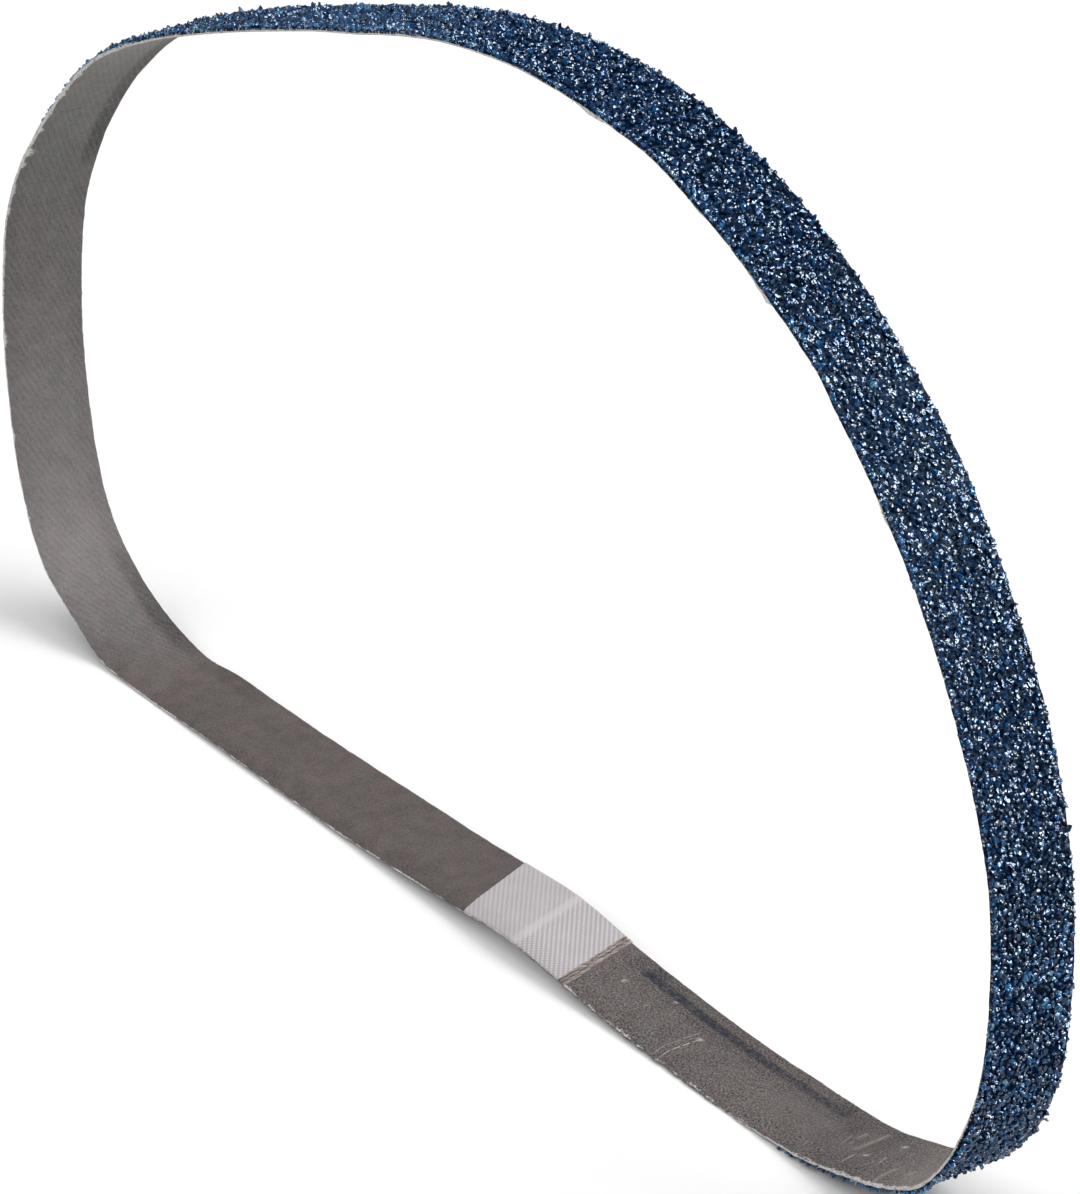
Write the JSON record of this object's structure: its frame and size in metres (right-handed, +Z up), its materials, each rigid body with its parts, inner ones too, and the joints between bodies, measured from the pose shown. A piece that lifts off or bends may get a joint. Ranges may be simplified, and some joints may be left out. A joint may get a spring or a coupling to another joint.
{
  "type": "sanding belt",
  "caption": "Narrow endless sanding belt standing as an upright loop: cloth backing, coarse blue abrasive grain outside, slanting butt joint taped on the inside.",
  "frame": {"origin": "on the ground under the middle of the loop, at the bottom centre of its box", "axes": "+X along the long way of the loop, +Y across the belt's width, +Z up; the loop stands on its outer face"},
  "size_m": [0.198, 0.012, 0.1182],
  "materials": {
    "backing_cloth": "resin-filled grey-brown twill cloth, matt, frayed pale at its edges",
    "blue_grain": "coarse dark blue grain in blue resin, glinting, open black gaps between the grains",
    "ribbed_tape": "pale lilac-grey thread-reinforced film tape, finely ribbed across, satin"
  },
  "bodies": {
    "root": {"cloth_backing": "backing_cloth", "abrasive_coat": "blue_grain", "joint_tape": "ribbed_tape"}
  },
  "joints": []
}
